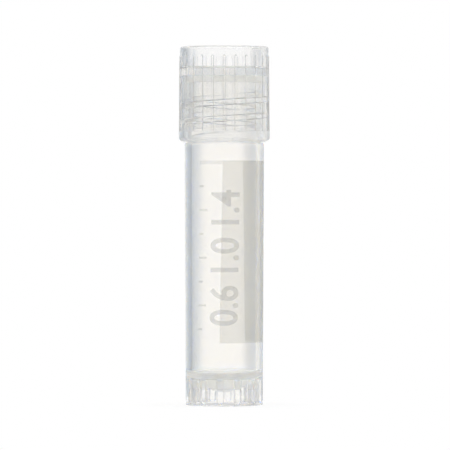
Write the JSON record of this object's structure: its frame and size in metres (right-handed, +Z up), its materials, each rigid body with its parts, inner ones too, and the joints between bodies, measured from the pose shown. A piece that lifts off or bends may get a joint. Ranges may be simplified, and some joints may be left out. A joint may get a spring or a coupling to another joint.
{
  "type": "cryovial",
  "caption": "Clear self-standing cryogenic vial with a threaded neck, ribbed screw cap, silicone sealing ring and a hollow lugged foot.",
  "frame": {"origin": "centre of the foot's base, on the vial's axis", "axes": "+Z up along the vial's axis towards the cap; the front, which carries the marking area, faces -Y"},
  "size_m": [0.0124, 0.0124, 0.049],
  "materials": {
    "vial_plastic": "milky translucent natural polypropylene, moulded gloss",
    "cap_plastic": "milky translucent natural polypropylene, moulded gloss",
    "silicone": "translucent silicone, satin"
  },
  "bodies": {
    "vial": {"vial": "vial_plastic"},
    "gasket": {"gasket": "silicone"},
    "cap": {"cap": "cap_plastic"}
  },
  "joints": [
    {"name": "cap_lift", "type": "slide", "parent": "vial", "child": "gasket", "axis": [0, 0, 1], "range_m": [0, 0.00884]},
    {"name": "cap_turn", "type": "hinge", "parent": "gasket", "child": "cap", "pos_m": [0, 0, 0.0425], "axis": [0, 0, 1], "range_deg": [0, 1440]}
  ],
  "couplings": [
    {"joint": "cap_turn", "follows": "cap_lift", "rad_per_m": 2843.1}
  ]
}
